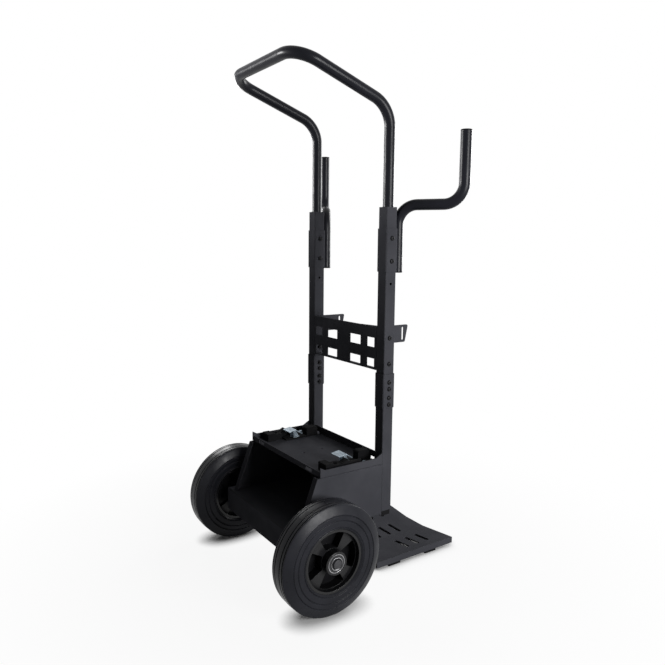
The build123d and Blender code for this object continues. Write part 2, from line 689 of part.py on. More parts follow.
def lock_rail():
    """A moulded rail: body with a wider stop, cheek with a peak and ledge beside the latch, front block."""
    rear = LOCK_RAIL_REAR_END
    body_x = (LOCK_RAIL_OUTER - LOCK_RAIL_BODY_W, LOCK_RAIL_OUTER)
    body_end = rear + LOCK_RAIL_BODY_L
    body_top = DECK_TOP + LOCK_RAIL_BODY_H
    stop_end = rear + LOCK_RAIL_STOP_L
    stop_top = DECK_TOP + LOCK_RAIL_STOP_H
    stop = [
        (rear, DECK_TOP),
        (rear, stop_top),
        (stop_end, stop_top),
        (stop_end + stop_top - body_top, body_top),
        (stop_end + stop_top - body_top, DECK_TOP),
    ]
    cheek_end = body_end + LOCK_RAIL_CHEEK_L
    cheek = [
        (body_end, DECK_TOP),
        (body_end, body_top),
        ((body_end + cheek_end) / 2, DECK_TOP + LOCK_RAIL_PEAK_H),
        (cheek_end, LOCK_RAIL_SEAT),
        (cheek_end, DECK_TOP),
    ]
    block_x = (LOCK_RAIL_INNER, LOCK_RAIL_INNER + LOCK_RAIL_BLOCK_W)
    block_rear = LOCK_RAIL_FRONT - LOCK_RAIL_BLOCK_L
    block_top = DECK_TOP + LOCK_RAIL_BLOCK_H
    front_block = [
        (block_rear, DECK_TOP),
        (block_rear, block_top),
        (LOCK_RAIL_FRONT, block_top),
        (LOCK_RAIL_FRONT, DECK_TOP),
    ]
    solid = block(body_x, (rear, body_end), (DECK_TOP, body_top))
    flange_x = (LOCK_RAIL_INNER, LOCK_RAIL_OUTER)
    solid += block(flange_x, (body_end, LOCK_RAIL_FRONT), (DECK_TOP, LOCK_RAIL_SEAT))
    solid += plate_across_x(stop, (LOCK_RAIL_OUTER - LOCK_RAIL_STOP_W, LOCK_RAIL_OUTER), BEND_R, (1, 2))
    solid += plate_across_x(cheek, (LOCK_RAIL_OUTER - LOCK_RAIL_CHEEK_W, LOCK_RAIL_OUTER), BEND_R, (2,))
    solid += plate_across_x(front_block, block_x, LOCK_RAIL_BLOCK_R, (1, 2))
    solid += block(
        (LOCK_RAIL_OUTER - LOCK_RAIL_LEDGE_W, LOCK_RAIL_OUTER),
        (body_end, body_end + LOCK_RAIL_LEDGE_L),
        (DECK_TOP, DECK_TOP + LOCK_RAIL_LEDGE_H),
    )
    wall = LOCK_RAIL_WALL
    for (low_x, high_x), (low_y, high_y), top in (
        (body_x, (rear, body_end), body_top),
        (block_x, (block_rear, LOCK_RAIL_FRONT), block_top - LOCK_RAIL_BLOCK_R + wall),
    ):
        solid -= block((low_x + wall, high_x - wall), (low_y + wall, high_y - wall), (DECK_TOP, top - wall))
    front_screw, rear_screw = rail_screw_places()
    solid += upright_rod(rear_screw, (DECK_TOP, body_top), RAIL_BOSS_D)
    solid -= upright_rod(rear_screw, (LOCK_RAIL_SEAT, body_top), RAIL_SCREW_HEAD_D + 2 * HOLE_PLAY)
    for place in (front_screw, rear_screw):
        solid -= upright_rod(place, (DECK_TOP, LOCK_RAIL_SEAT), RAIL_SCREW_D + 2 * HOLE_PLAY)
    return solid


def rail_screws():
    screws = []
    for place in rail_screw_places():
        head = upright_rod(place, (LOCK_RAIL_SEAT, LOCK_RAIL_SEAT + RAIL_SCREW_HEAD_H), RAIL_SCREW_HEAD_D)
        top_edge = head.edges().filter_by(GeomType.CIRCLE).sort_by(Axis.Z)[-1]
        head = chamfer(top_edge, RAIL_SCREW_HEAD_H / 2)
        shank = upright_rod(place, (DECK_UNDERSIDE - SHEET, LOCK_RAIL_SEAT), RAIL_SCREW_D)
        screws += both_sides(head + shank)
    return Compound(screws)


def latch_base():
    """A folded bracket on the rail's flange with two ears that hold the pivot pin."""
    half = LATCH_BASE_W / 2
    y_span = (LATCH_Y - LATCH_EAR_R, LATCH_Y + LATCH_FOOT_L)
    seat = LOCK_RAIL_SEAT
    solid = block((LATCH_X - half, LATCH_X + half), y_span, (seat, seat + LATCH_BASE_T))
    ear = [
        (LATCH_Y - LATCH_EAR_R, seat),
        (LATCH_Y - LATCH_EAR_R, LATCH_Z),
        (LATCH_Y + LATCH_EAR_R, LATCH_Z),
        (LATCH_Y + LATCH_FOOT_L, seat + LATCH_BASE_T),
        (LATCH_Y + LATCH_FOOT_L, seat),
    ]
    for low in (LATCH_X - half, LATCH_X + half - LATCH_BASE_T):
        span = (low, low + LATCH_BASE_T)
        solid += plate_across_x(ear, span)
        solid += rod_along_x(span, LATCH_Y, LATCH_Z, 2 * LATCH_EAR_R)
        solid -= rod_along_x(span, LATCH_Y, LATCH_Z, LATCH_PIN_D + 2 * FIT)
    return solid


def latch_pin():
    half = LATCH_BASE_W / 2
    span = (LATCH_X - half - LATCH_PIN_HEAD_T, LATCH_X + half)
    solid = rod_along_x(span, LATCH_Y, LATCH_Z, LATCH_PIN_D)
    head = (LATCH_X + half, LATCH_X + half + LATCH_PIN_HEAD_T)
    return solid + rod_along_x(head, LATCH_Y, LATCH_Z, LATCH_PIN_HEAD_D)


def latch_lever():
    """A bent plate that rocks on the pin: thumb plate to the rear, tongue to the front.

    Its barrel leaves room on the pin for a torsion spring at each end.
    """
    ridge_z = LATCH_Z + LATCH_BARREL_D / 2 + LATCH_PLATE_T / 2
    rear_tilt = radians(LATCH_PLATE_TILT)
    front_tilt = radians(LATCH_TONGUE_TILT)
    rear_end = (LATCH_Y - LATCH_PLATE_L * cos(rear_tilt), ridge_z - LATCH_PLATE_L * sin(rear_tilt))
    front_end = (LATCH_Y + LATCH_TONGUE_L * cos(front_tilt), ridge_z - LATCH_TONGUE_L * sin(front_tilt))
    plate = bent_strip([rear_end, (LATCH_Y, ridge_z)], LATCH_PLATE_W)
    barrel_half = LATCH_BASE_W / 2 - LATCH_BASE_T - LATCH_SPRING_W
    barrel_span = (LATCH_X - barrel_half, LATCH_X + barrel_half)
    barrel = rod_along_x(barrel_span, LATCH_Y, LATCH_Z, LATCH_BARREL_D + LATCH_PLATE_T)
    spine = bent_strip([rear_end, (LATCH_Y, ridge_z), front_end], LATCH_TONGUE_W)
    bore = rod_along_x(barrel_span, LATCH_Y, LATCH_Z, LATCH_PIN_D + 2 * FIT)
    return plate + spine + barrel - bore


def bent_strip(points, width):
    """A strip of the latch's plate along (y, z) points, centred on the latch."""
    line = Polyline(*points)
    outline = Plane.YZ.offset(LATCH_X - width / 2) * make_face(offset(line, LATCH_PLATE_T / 2))
    return extrude(outline, width, dir=(1, 0, 0))


# Posts

def lower_post():
    solid = square_tube(POST_X, POST_Y, (POST_BOTTOM, POST_SPLIT), POST_W, POST_WALL, POST_CORNER_R)
    for cut in bolt_holes(SLEEVE_BOLTS_LOWER, POST_SPAN):
        solid -= cut
    return solid


def upper_post():
    solid = square_tube(POST_X, POST_Y, (POST_SPLIT, POST_TOP), POST_W, POST_WALL, POST_CORNER_R)
    heights = SLEEVE_BOLTS_UPPER + BRACKET_BOLT_Z + HOOK_BOLTS + [SPARE_HOLE]
    for cut in bolt_holes(heights, POST_SPAN):
        solid -= cut
    return solid


def collar(z_span, heights):
    """A square sleeve that slips over a post, with cross holes for its bolts."""
    solid = square_tube(POST_X, POST_Y, z_span, COLLAR_W, COLLAR_WALL, POST_CORNER_R + COLLAR_WALL)
    for cut in bolt_holes(heights, POST_SPAN):
        solid -= cut
    return solid


def post_plug():
    cap_w = POST_W - 2 * PLUG_STEP
    cap = RectangleRounded(cap_w, cap_w, POST_CORNER_R)
    spigot_w = POST_W - 2 * (POST_WALL + SLIP)
    spigot = RectangleRounded(spigot_w, spigot_w, POST_CORNER_R / 2)
    solid = Pos(POST_X, POST_Y, CHASSIS_BOTTOM) * extrude(cap, PLUG_T)
    return solid + Pos(POST_X, POST_Y, POST_BOTTOM) * extrude(spigot, PLUG_SPIGOT_L)


# Handle and hooks

def handle_tube():
    foot = POST_TOP - HANDLE_INSERT
    bar_y = POST_Y - HANDLE_REACH
    bar_z = HANDLE_BEND_Z + HANDLE_RISE
    points = [
        (POST_X, POST_Y, foot),
        (POST_X, POST_Y, HANDLE_BEND_Z),
        (POST_X, bar_y, bar_z),
        (-POST_X, bar_y, bar_z),
        (-POST_X, POST_Y, HANDLE_BEND_Z),
        (-POST_X, POST_Y, foot),
    ]
    solid = round_tube(points, [HANDLE_LEG_BEND_R, HANDLE_CORNER_R, HANDLE_CORNER_R, HANDLE_LEG_BEND_R])
    for cut in bolt_holes(HOOK_BOLTS, POST_SPAN):
        for side in both_sides(cut):
            solid -= side
    return solid


def cable_hook():
    tip = (HOOK_X + HOOK_OUT, HOOK_Y + HOOK_FORWARD)
    points = [
        (HOOK_X, HOOK_Y, HOOK_COLLAR_BOTTOM),
        (HOOK_X, HOOK_Y, HOOK_RUN_Z),
        (*tip, HOOK_RUN_Z),
        (*tip, HOOK_TOP),
    ]
    return round_tube(points, [HOOK_BEND_R, HOOK_BEND_R])


def hook_caps():
    """Plugs in the open top and foot of a hook."""
    plug = Cylinder(TUBE_D / 2, HOOK_CAP_T, align=(Align.CENTER, Align.CENTER, Align.MIN))
    plug = fillet(plug.edges().sort_by(Axis.Z)[-1], HOOK_CAP_T / 2)
    spigot_r = TUBE_D / 2 - TUBE_WALL - SLIP
    plug += Cylinder(spigot_r, HOOK_CAP_SPIGOT_L, align=(Align.CENTER, Align.CENTER, Align.MAX))
    top = Pos(HOOK_X + HOOK_OUT, HOOK_Y + HOOK_FORWARD, HOOK_TOP) * plug
    foot = Pos(HOOK_X, HOOK_Y, HOOK_COLLAR_BOTTOM) * Rot(180, 0, 0) * plug
    return Compound([top, foot])


# Cylinder bracket

def cylinder_bracket():
    """Folded sheet between the posts: a web with windows and two flanges that end in strap ears."""
    top = BRACKET_BOTTOM + BRACKET_H
    rear = POST_REAR
    inner = POST_INNER - SHEET
    web = block((-POST_INNER, POST_INNER), (rear, rear + SHEET), (BRACKET_BOTTOM, top))
    lip = block((-inner, inner), (rear, rear + BRACKET_LIP), (BRACKET_BOTTOM, BRACKET_BOTTOM + SHEET))
    tip = POST_Y + BRACKET_EAR_REACH
    ear_bottom = top - BRACKET_EAR_H
    flange = [
        (rear, BRACKET_BOTTOM),
        (POST_FRONT, BRACKET_BOTTOM),
        (POST_FRONT, ear_bottom),
        (tip - BRACKET_EAR_SLANT, ear_bottom),
        (tip, top),
        (rear, top),
    ]
    side = plate_across_x(flange, (inner, POST_INNER), 2 * BEND_R, (1, 3, 4))
    gusset = Plane.XY.offset(top - SHEET) * Polygon(
        (inner - BRACKET_GUSSET_L, rear),
        (inner, rear),
        (inner, rear + BRACKET_GUSSET_W),
        align=None,
    )
    side += extrude(gusset, SHEET, dir=(0, 0, 1))
    slot_x = (inner, POST_INNER)
    slot_y = tip - STRAP_SLOT_FROM_TIP
    slot_z = top - BRACKET_EAR_H / 2
    slot = Plane.YZ.offset(inner) * Pos(slot_y, slot_z) * SlotOverall(STRAP_SLOT_L, STRAP_SLOT_W, rotation=90)
    side -= extrude(slot, slot_x[1] - slot_x[0], dir=(1, 0, 0))
    for z in BRACKET_BOLT_Z:
        side -= rod_along_x(slot_x, POST_Y, z, BOLT_D + 2 * HOLE_PLAY)
    solid = web + lip
    for half in both_sides(side):
        solid += half
    first_row = BRACKET_BOTTOM + SHEET
    for row in range(2):
        low = first_row + row * (WINDOW_H + WINDOW_BAND)
        for x, width in ((WINDOW_X, WINDOW_W), (SIDE_WINDOW_X, SIDE_WINDOW_W)):
            window = block((x - width / 2, x + width / 2), (rear, rear + SHEET), (low, low + WINDOW_H))
            for cut in both_sides(window):
                solid -= cut
    return solid


# Toe plate

def toe_wing_z(x):
    """The height of the toe plate's top at a distance x from the middle."""
    run = TOE_W / 2 - TOE_CENTRE_W / 2
    return TOE_CENTRE_Z + TOE_WING_RISE * max(0.0, x - TOE_CENTRE_W / 2) / run


def toe_plate():
    """A sheet with a flat middle, wings that rise to the sides, side flanges and a rear upstand."""
    half = TOE_W / 2
    edge_z = TOE_CENTRE_Z + TOE_WING_RISE
    fold = TOE_CENTRE_W / 2
    right = [
        (fold, TOE_CENTRE_Z),
        (half, edge_z),
        (half, edge_z - TOE_FLANGE_H),
        (half - SHEET, edge_z - TOE_FLANGE_H),
        (half - SHEET, toe_wing_z(half - SHEET) - SHEET),
        (fold, TOE_CENTRE_Z - SHEET),
    ]
    left = [(-x, z) for x, z in reversed(right)]
    outline = Plane.XZ * make_face(Polyline(*right, *left, close=True))
    solid = Pos(0, PANEL_FRONT, 0) * extrude(outline, TOE_FRONT - PANEL_FRONT, dir=(0, 1, 0))
    upstand_z = (TOE_CENTRE_Z, TOE_CENTRE_Z + TOE_UPSTAND_H)
    solid += block((-POST_INNER, POST_INNER), (PANEL_FRONT, PANEL_FRONT + SHEET), upstand_z)
    columns = (
        (0, TOE_CENTRE_SLOT_FIRST),
        (TOE_WING_SLOT_X, TOE_WING_SLOT_FIRST),
        (-TOE_WING_SLOT_X, TOE_WING_SLOT_FIRST),
    )
    depth = TOE_WING_RISE + 2 * SHEET
    for x, first in columns:
        for row in range(TOE_SLOT_ROWS):
            y = AXLE_Y + first + row * TOE_SLOT_PITCH
            slot = Pos(x, y, TOE_CENTRE_Z - SHEET) * SlotOverall(TOE_SLOT_L, TOE_SLOT_W)
            solid -= extrude(slot, depth, dir=(0, 0, 1))
    return solid


def toe_feet():
    """Four glides under the side flanges."""
    outer = TOE_W / 2
    flange_bottom = TOE_CENTRE_Z + TOE_WING_RISE - TOE_FLANGE_H
    feet = []
    for distance in TOE_FOOT_FROM_AXLE:
        middle = AXLE_Y + distance
        y_span = (middle - TOE_FOOT_L / 2, middle + TOE_FOOT_L / 2)
        foot = block((outer - TOE_FOOT_W, outer), y_span, (0, flange_bottom))
        under_wing = toe_wing_z(outer - TOE_FOOT_W) - SHEET
        foot += block((outer - TOE_FOOT_W, outer - SHEET), y_span, (0, under_wing))
        feet += both_sides(foot)
    return Compound(feet)


def emit(name, solid):
    export_step(solid, os.path.join("parts", name + ".step"))


def emit_pair(name, solid):
    right, left = both_sides(solid)
    emit(name + "_right", right)
    emit(name + "_left", left)


def main():
    os.makedirs("parts", exist_ok=True)

    emit("axle_beam", axle_beam())
    emit_pair("axle_bracket", axle_bracket())
    emit("floor_pan", floor_pan())
    emit_pair("side_plate", side_plate())
    emit("front_panel", front_panel())
    emit("deck_tray", deck_tray())
    emit_pair("lock_rail", lock_rail())
    emit("rail_screws", rail_screws())
    emit_pair("latch_base", latch_base())
    emit_pair("latch_pin", latch_pin())
    emit_pair("latch_lever", latch_lever())

    emit_pair("lower_post", lower_post())
    emit_pair("upper_post", upper_post())
    emit_pair("post_plug", post_plug())
    emit_pair("joint_sleeve", collar((POST_SPLIT - SLEEVE_BELOW, POST_SPLIT + SLEEVE_ABOVE), SLEEVE_BOLTS))
    emit_pair("hook_collar", collar((HOOK_COLLAR_BOTTOM, HOOK_COLLAR_BOTTOM + HOOK_COLLAR_L), HOOK_BOLTS))
    emit_pair("cable_hook", cable_hook())
    emit_pair("hook_caps", hook_caps())
    emit("handle_tube", handle_tube())
    emit("cylinder_bracket", cylinder_bracket())
    emit("toe_plate", toe_plate())
    emit("toe_feet", toe_feet())

    collar_half = COLLAR_W / 2
    for name, heights, head_x, nut_x in (
        ("sleeve", SLEEVE_BOLTS, POST_X + collar_half, POST_X - collar_half),
        ("hook", HOOK_BOLTS, POST_X + collar_half, POST_X - collar_half),
        ("bracket", BRACKET_BOLT_Z, POST_OUTER, POST_INNER - SHEET),
    ):
        bolts, nuts = through_bolts(heights, head_x, nut_x)
        emit(name + "_bolts", bolts)
        emit(name + "_nuts", nuts)

    emit_pair("tyre", tyre(WHEEL_X))
    emit_pair("rim", rim(WHEEL_X))
    emit_pair("bearing_outer_rings", bearing_outer_rings(WHEEL_X))
    emit_pair("bearing_seals", bearing_seals(WHEEL_X))
    emit_pair("bearing_inner_rings", bearing_inner_rings(WHEEL_X))
    emit_pair("bearing_spacer", bearing_spacer(WHEEL_X))
    emit_pair("axle_spacer", axle_spacer())
    emit_pair("axle_washer", axle_washer())
    emit_pair("circlip", circlip())
    emit("axle", axle())


main()
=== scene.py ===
import json
import math

import bpy
from mathutils import Matrix, Vector


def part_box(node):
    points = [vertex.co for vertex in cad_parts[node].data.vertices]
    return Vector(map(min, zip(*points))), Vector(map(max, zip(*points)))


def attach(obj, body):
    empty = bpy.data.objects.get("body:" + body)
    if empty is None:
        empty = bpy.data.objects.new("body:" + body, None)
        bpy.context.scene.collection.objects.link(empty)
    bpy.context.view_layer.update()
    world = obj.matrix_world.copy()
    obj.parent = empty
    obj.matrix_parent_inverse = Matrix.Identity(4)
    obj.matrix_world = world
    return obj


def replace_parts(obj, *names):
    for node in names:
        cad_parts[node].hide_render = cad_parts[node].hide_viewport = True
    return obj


# Looks for the welding trolley: finishes on the CAD nodes, turned tyres, socket-head bolts, weld beads
# and latch springs, then the floor, the light and the camera. Metres, in the frame of the CAD model.
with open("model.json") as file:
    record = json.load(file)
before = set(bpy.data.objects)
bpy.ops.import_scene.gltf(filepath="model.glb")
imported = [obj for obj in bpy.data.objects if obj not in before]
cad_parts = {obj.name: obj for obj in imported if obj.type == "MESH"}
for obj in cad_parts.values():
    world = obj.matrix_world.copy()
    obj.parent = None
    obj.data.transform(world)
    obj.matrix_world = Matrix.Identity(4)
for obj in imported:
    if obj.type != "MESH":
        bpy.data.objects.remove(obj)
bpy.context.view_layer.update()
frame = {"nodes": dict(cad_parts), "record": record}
nodes = frame["nodes"]


class Box:
    """The corners, middle and half size of a CAD node."""

    def __init__(self, node):
        self.low, self.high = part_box(node)
        self.middle = (self.low + self.high) / 2
        self.half = (self.high - self.low) / 2


# Camera, fitted to the wheels, posts, handle and deck
CAMERA_AT = (1.28335, -0.87324, 0.79173)
CAMERA_YAW = math.radians(55.83)
CAMERA_PITCH = math.radians(7.96)
CAMERA_ROLL = math.radians(0.49)
CAMERA_LENS = 34.03
CAMERA_SENSOR = 36.0

# Lamps, with the place that each is aimed at and, for a narrow beam, its spread in degrees
LAMPS = {
    "key": dict(at=(2.45, 0.45, 0.9), aim=(0.0, 0.0, 0.6), width=1.1, height=1.1, watts=94.0),
    "left": dict(at=(-1.45, -1.8, 1.25), aim=(0.0, 0.0, 1.3), width=0.8, height=0.6, watts=6.0, spread=28.0),
    "front": dict(at=(-0.4, 1.5, 1.0), aim=(0.0, 0.1, 0.1), width=0.8, height=0.8, watts=20.0),
    "fill": dict(at=(-2.6, 0.2, 1.3), aim=(0.0, 0.0, 0.5), width=0.9, height=0.9, watts=26.0),
}
WIDE_BEAM = 180.0

# Floor and background: the floor's glow is full beyond the fade and gives way to shadow in tight places
FLOOR_HALF = 30.0
FLOOR_Z = -0.0005
FLOOR_COLOUR = (0.50, 0.50, 0.50)
FLOOR_ROUGHNESS = 0.9
GLOW_FADE = (0.4, 1.0)
GLOW_NEAR = 0.92
SHADOW_REACH = 0.05
SHADOW_SAMPLES = 12
SHADOW_RANGE = (0.45, 0.9)
WORLD_FILL = 0.05

# Posts, collars and sheet, from the CAD nodes: the left side mirrors the right
POST = Box("lower_post_right")
POST_X = POST.middle.x
POST_Y = POST.middle.y
POST_HALF = POST.half.x
COLLAR = Box("hook_collar_right")
COLLAR_HALF = COLLAR.half.x
PANEL = Box("front_panel")
PANEL_FRONT = PANEL.high.y
SHEET = PANEL.high.y - PANEL.low.y
BEAM_TOP = Box("axle_beam").high.z
TOE_UPSTAND_TOP = Box("toe_plate").high.z

# Tyres: the CAD tyre's sizes, with a shoulder that is almost a flat cone
TYRE = Box("tyre_right")
WHEEL_X = TYRE.middle.x
AXLE_Y = TYRE.middle.y
AXLE_Z = TYRE.middle.z
TYRE_R = TYRE.half.z
TYRE_HALF = TYRE.half.x
TYRE_BEAD_HALF = 0.023
TYRE_SEAT_R = 0.068
RIM_HALF = 0.026
RIM_CLEAR_R = 0.07115
SIDEWALL_RINGS_R = (0.0765, 0.0910, 0.1022)
SIDEWALL_GROOVE = 0.0018
SHOULDER_R = 0.104
SHOULDER_BULGE = 0.0005
SHOULDER_STEPS = 8
TREAD_HALF = 0.0215
TREAD_EDGE_R = 0.1242
TREAD_EDGE_ROUND = 0.0016
TREAD_GROOVES_X = (0.018, 0.009)
TREAD_GROOVE_HALF = 0.0015
TREAD_GROOVE_R = 0.122
TYRE_SEGMENTS = 160

# Bolts: their heights in the CAD model, then shank, nut, head and hexagon socket
SLEEVE_BOLTS_Z = (0.4205, 0.4365, 0.4575, 0.4735)
HOOK_BOLTS_Z = (0.75525, 0.807)
BRACKET_BOLTS_Z = (0.517, 0.578)
BOLT_R = 0.003
BOLT_CHAMFER = 0.00075
BOLT_TAIL = 0.0015
BOLT_SEGMENTS = 48
NUT_H = 0.005
HEAD_R = 0.0055
HEAD_H = 0.0034
HEAD_EDGE = 0.00068
SOCKET_WIDTH = 0.004
SOCKET_RIM_R = 0.00272
SOCKET_DEPTH = 0.0018

# Weld beads: radii and stretches of each seam
BEAD_R = 0.0024
BEAM_BEAD_R = 0.00168
HOOK_BEAD_R = 0.0026
PANEL_BEADS_Z = ((0.165, 0.195), (0.235, 0.265))
SIDE_BEADS_Z = ((0.1475, 0.190), (0.240, 0.268))
BEAM_BEADS_Y = ((-0.180, -0.155), (-0.148, -0.123))
HOOK_BEAD_X = 0.0068
HOOK_BEAD_LIFT = 0.0014
HOOK_BEAD_MARGIN = 0.006
HOOK_BEAD_LENGTH = 0.030
TOE_BEADS_X = (-0.105, -0.035, 0.035, 0.105)
TOE_BEAD_HALF = 0.014

# Shape of a bead: its steps, swelling ends and ripples, with lengths as shares of its radius
BEAD_SIDES = 10
BEAD_STEP = 0.28
BEAD_FEWEST_STEPS = 6
BEAD_END = 0.35
BEAD_SWELL_LENGTH = 2.0
BEAD_RIPPLE = 0.14
STEPS_PER_RIPPLE = 4

# Latch springs round the pins, each with a leg on the base and a leg under the thumb plate
PIN = Box("latch_pin_right")
LATCH_X = PIN.middle.x
LATCH_Y = PIN.middle.y
LATCH_Z = PIN.middle.z
LATCH_SEAT = Box("latch_base_right").low.z
SPRING_WIRE_R = 0.00045
SPRING_WIRE_STEPS = 2
SPRING_COIL_R = 0.0032
SPRING_TURNS = 2.5
SPRING_STEPS_PER_TURN = 16
SPRING_START = math.radians(-90)
SPRING_INNER = 0.0047
SPRING_OUTER = 0.0067
BASE_LEG_REACH = 0.008
BASE_LEG_LIFT = 0.0026
PLATE_LEG_REACH = 0.009
PLATE_LEG_DROP = 0.0005

# Steps of a rounding as shares of it, and the angle from which an edge stays sharp
QUARTERS = (0.25, 0.5, 0.75, 1.0)
SHARP_ANGLE = math.radians(35)

# Finishes: linear colours, roughness, mirror level, lumps of grain in a metre, and depth of the relief
# Lighter colour of the paint's edges: wear, and a painted highlight along them
PAINT_EDGE_WEAR_AND_HIGHLIGHT = (0.070, 0.071, 0.078)
PLASTIC = dict(dark=(0.004, 0.004, 0.0045), light=(0.008, 0.008, 0.0085))
STEEL = dict(dark=(0.280, 0.280, 0.290), light=(0.440, 0.440, 0.450))
PAINTED = {
    "painted_steel": dict(
        dark=(0.028, 0.0285, 0.033), light=(0.038, 0.0385, 0.044),
        roughness=0.70, specular=0.015, peel=900.0, depth=0.00006, rounding=0.0011,
    ),
    "tube_paint": dict(
        dark=(0.0042, 0.0044, 0.0066), light=(0.0068, 0.0071, 0.0102),
        roughness=0.31, specular=0.10, peel=500.0, depth=0.00001, rounding=0.0002,
    ),
}
MOULDED = {
    "tyre_rubber": dict(
        dark=(0.008, 0.0083, 0.0106), light=(0.012, 0.0124, 0.0158),
        roughness=0.30, specular=0.095, grain=700.0, depth=0.00003,
    ),
    "rim_plastic": dict(
        dark=(0.004, 0.004, 0.0045), light=(0.007, 0.007, 0.0077),
        # painted shade: the rim's gloss drops to this level in deep pockets
        roughness=0.22, specular=0.30, grain=900.0, depth=0.00003, recess_shade_specular=0.01,
    ),
    "rail_plastic": dict(**PLASTIC, roughness=0.65, specular=0.01, grain=1200.0, depth=0.00012),
    "cap_plastic": dict(**PLASTIC, roughness=0.60, specular=0.02, grain=1200.0, depth=0.00008),
    "seal_rubber": dict(
        dark=(0.020, 0.020, 0.021), light=(0.030, 0.030, 0.032),
        roughness=0.50, specular=0.10, grain=1500.0, depth=0.00005,
    ),
    "black_fastener": dict(
        dark=(0.005, 0.005, 0.006), light=(0.009, 0.009, 0.010),
        roughness=0.34, specular=0.08, grain=800.0, depth=0.00004,
    ),
}
BARE_METAL = {
    "bearing_steel": dict(**STEEL, roughness=0.26, grain=500.0, stretch=(1.0, 1.0, 1.0)),
    "axle_steel": dict(
        dark=(0.040, 0.040, 0.043), light=(0.065, 0.065, 0.068),
        roughness=0.42, grain=300.0, stretch=(0.2, 1.0, 1.0),
    ),
    "plain_steel": dict(**STEEL, roughness=0.36, grain=400.0, stretch=(2.0, 1.0, 1.0)),
    "zinc_steel": dict(
        dark=(0.160, 0.200, 0.235), light=(0.300, 0.350, 0.390),
        roughness=0.40, grain=240.0, stretch=(1.0, 1.0, 1.0),
    ),
}

# Noise in the finishes, as lumps in a metre and levels of detail, and the middle part of it that is used
PAINT_CLOUDS = (9.0, 4.0)
PAINT_SHEEN = (28.0, 3.0)
PAINT_WEAR_AND_HIGHLIGHT = (55.0, 4.0)
MOULD_CLOUDS = (14.0, 5.0)
MOULD_SHEEN = (40.0, 4.0)
PEEL_DETAIL = 1.5
GRAIN_DETAIL = 3.0
METAL_DETAIL = 4.0
METAL_SHEEN_DETAIL = 3.0
METAL_SHEEN_COARSER = 3
NOISE_MIDDLE = (0.35, 0.65)

# How far the roughness strays below and above its mean
PAINT_STRAY = (0.05, 0.06)
MOULD_STRAY = (0.06, 0.08)
METAL_STRAY = (0.07, 0.10)

# Relief and edges: strength of the bumps, rounding of edges, and where the paint's edges turn lighter, from
# wear and a painted highlight
PEEL_STRENGTH = 0.25
GRAIN_STRENGTH = 0.4
METAL_STRENGTH = 0.3
METAL_DEPTH = 0.00006
MOULD_ROUNDING = 0.0009
METAL_ROUNDING = 0.0005
BEVEL_SAMPLES = 6
EDGE_DOT = (0.80, 0.99)
MOST_WEAR_AND_HIGHLIGHT = 0.75

# Painted shade in the rims' recesses, as lowered gloss: how far the test for walls looks, and its results in
# a deep pocket and on an open face
RECESS_REACH = 0.040
RECESS_SAMPLES = 8
RECESS_RANGE = (0.50, 0.90)

# Colour sockets of the Mix node, which share their names with its other sockets
MIX_FIRST = 6
MIX_SECOND = 7
MIX_RESULT = 2


def add_node(tree, kind, links=None, values=None, **settings):
    """Adds a shader node with its settings, the values of its inputs and the links to them."""
    node = tree.nodes.new(kind)
    for key, value in settings.items():
        setattr(node, key, value)
    for key, value in (values or {}).items():
        node.inputs[key].default_value = value
    for key, source in (links or {}).items():
        tree.links.new(source, node.inputs[key])
    return node


def map_range(tree, source, source_low, source_high, low, high):
    """Maps one range of a value onto another."""
    values = {"From Min": source_low, "From Max": source_high, "To Min": low, "To Max": high}
    return add_node(tree, "ShaderNodeMapRange", {"Value": source}, values).outputs["Result"]


def combine(tree, operation, first, second):
    """The product or the larger of two values, as the operation says."""
    return add_node(tree, "ShaderNodeMath", {0: first, 1: second}, operation=operation).outputs[0]


